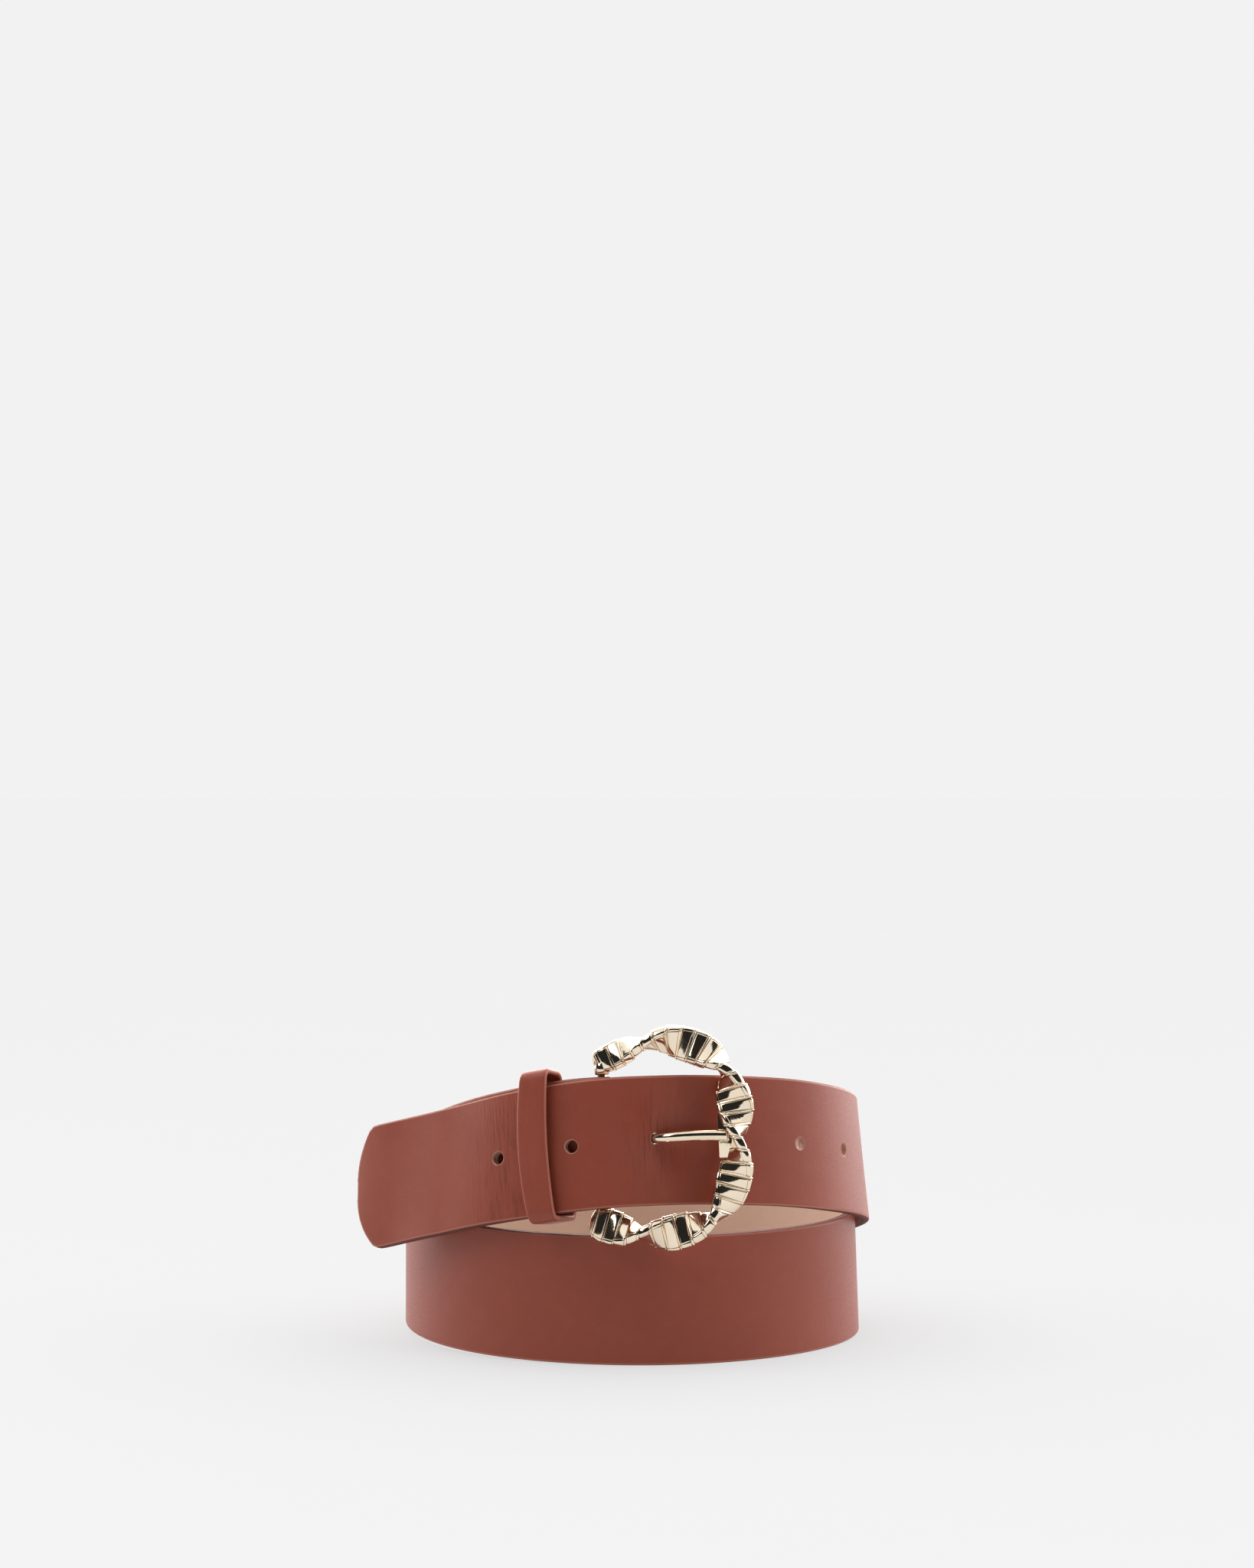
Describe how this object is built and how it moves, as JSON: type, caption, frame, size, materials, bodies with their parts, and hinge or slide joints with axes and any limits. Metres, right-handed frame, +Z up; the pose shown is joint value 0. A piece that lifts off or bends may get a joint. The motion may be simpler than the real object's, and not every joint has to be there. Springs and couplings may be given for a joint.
{
  "type": "leather belt",
  "caption": "Wide leather belt, fastened and coiled, with a twisted cast buckle, a single prong, a leather keeper and a beige lining.",
  "frame": {"origin": "on the ground under the middle of the belt's bounding box", "axes": "+Z up, the buckle faces -Y, the free tip points to -X"},
  "size_m": [0.1676, 0.1622, 0.105],
  "materials": {
    "leather_brown": "smooth fine-grained, satin",
    "lining_beige": "matte split leather",
    "board": "pressed leather board, matte",
    "pale_gold": "polished pale gold plating",
    "staple_wire": "plain wire",
    "rivet_metal": "polished"
  },
  "bodies": {
    "strap": {"strap_face": "leather_brown", "strap_filler": "board", "strap_lining": "lining_beige", "rivet_head_1": "rivet_metal", "rivet_ring_1": "rivet_metal", "rivet_head_2": "rivet_metal", "rivet_ring_2": "rivet_metal", "rivet_head_3": "rivet_metal", "rivet_ring_3": "rivet_metal", "rivet_head_4": "rivet_metal", "rivet_ring_4": "rivet_metal"},
    "buckle": {"buckle_frame": "pale_gold", "hinge_bar": "pale_gold"},
    "prong": {"prong": "pale_gold"},
    "keeper": {"keeper_band": "leather_brown", "keeper_staple": "staple_wire"}
  },
  "joints": [
    {"name": "buckle_swing", "type": "hinge", "parent": "strap", "child": "buckle", "pos_m": [-0.0033, -0.06567, 0.06887], "axis": [0.0402, -0.1111, -0.993], "range_deg": [0, 2]},
    {"name": "prong_swing", "type": "hinge", "parent": "buckle", "child": "prong", "pos_m": [-0.0033, -0.06567, 0.06887], "axis": [0.0402, -0.1111, -0.993], "range_deg": [0, 3.5]},
    {"name": "keeper_slide", "type": "slide", "parent": "strap", "child": "keeper", "axis": [-0.9058, 0.3832, -0.1808], "range_m": [0, 0.0034]}
  ]
}
